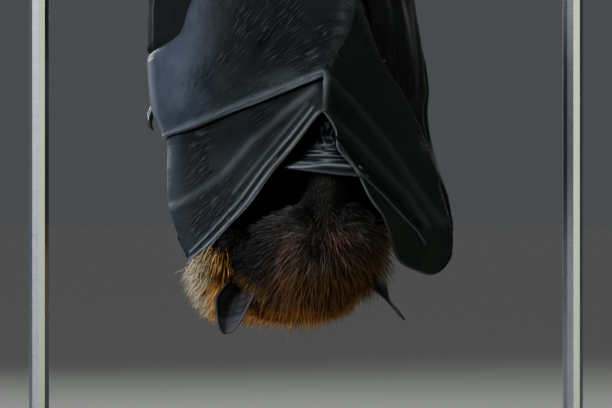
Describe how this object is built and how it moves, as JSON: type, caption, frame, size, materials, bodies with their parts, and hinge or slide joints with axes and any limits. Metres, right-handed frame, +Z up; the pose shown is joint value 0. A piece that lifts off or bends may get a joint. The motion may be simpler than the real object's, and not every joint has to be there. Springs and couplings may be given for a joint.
{
  "type": "fruit bat",
  "caption": "Life-size still model of a large fruit bat asleep under a cut branch, wrapped in its dark wings, on a plain stand with a flat base and rods.",
  "frame": {"origin": "centre of the underside of the stand's base", "axes": "+Z up; the bat's belly and the camera's side face -Y; +X is the bat's own right, along the perch"},
  "size_m": [0.3, 0.17, 0.3892],
  "materials": {
    "membrane": "thin wing membrane, dark slate grey, softly glossy",
    "finger": "skin over the finger bones, dark grey, satin",
    "face_fur": "short dense fur, blackish brown with grey tips",
    "coat_fur": "dense body fur, dark brown",
    "mantle_fur": "long golden-orange fur with cream tips",
    "bare_skin": "bare dark skin, matt",
    "eye": "dark eye, wet gloss",
    "claw": "dark horn, polished",
    "bark": "dry branch with its bark on",
    "base_wood": "walnut board, oiled to a satin finish",
    "rod_steel": "brushed stainless steel"
  },
  "bodies": {
    "root": {"stand_base": "base_wood", "stand_rod_left": "rod_steel", "stand_rod_right": "rod_steel", "perch": "bark", "chest": "coat_fur", "abdomen": "coat_fur", "neck": "mantle_fur", "head": "face_fur", "lower_jaw": "face_fur", "eye_left": "eye", "eye_right": "eye", "nose": "bare_skin", "ear_left": "bare_skin", "ear_right": "bare_skin", "membrane_hand_right": "membrane", "membrane_hand_left": "membrane", "membrane_arm_left": "membrane", "membrane_arm_right": "membrane", "membrane_fold": "membrane", "finger_3_right": "finger", "finger_4_right": "finger", "finger_5_right": "finger", "finger_4_left": "finger", "finger_5_left": "finger", "thigh_left": "coat_fur", "shank_left": "bare_skin", "foot_left": "bare_skin", "upper_arm_left": "coat_fur", "forearm_left": "bare_skin", "wrist_left": "bare_skin", "thumb_left": "finger", "thumb_claw_left": "claw", "thigh_right": "coat_fur", "shank_right": "bare_skin", "foot_right": "bare_skin", "upper_arm_right": "coat_fur", "forearm_right": "bare_skin", "wrist_right": "bare_skin", "thumb_right": "finger", "thumb_claw_right": "claw"}
  },
  "joints": []
}
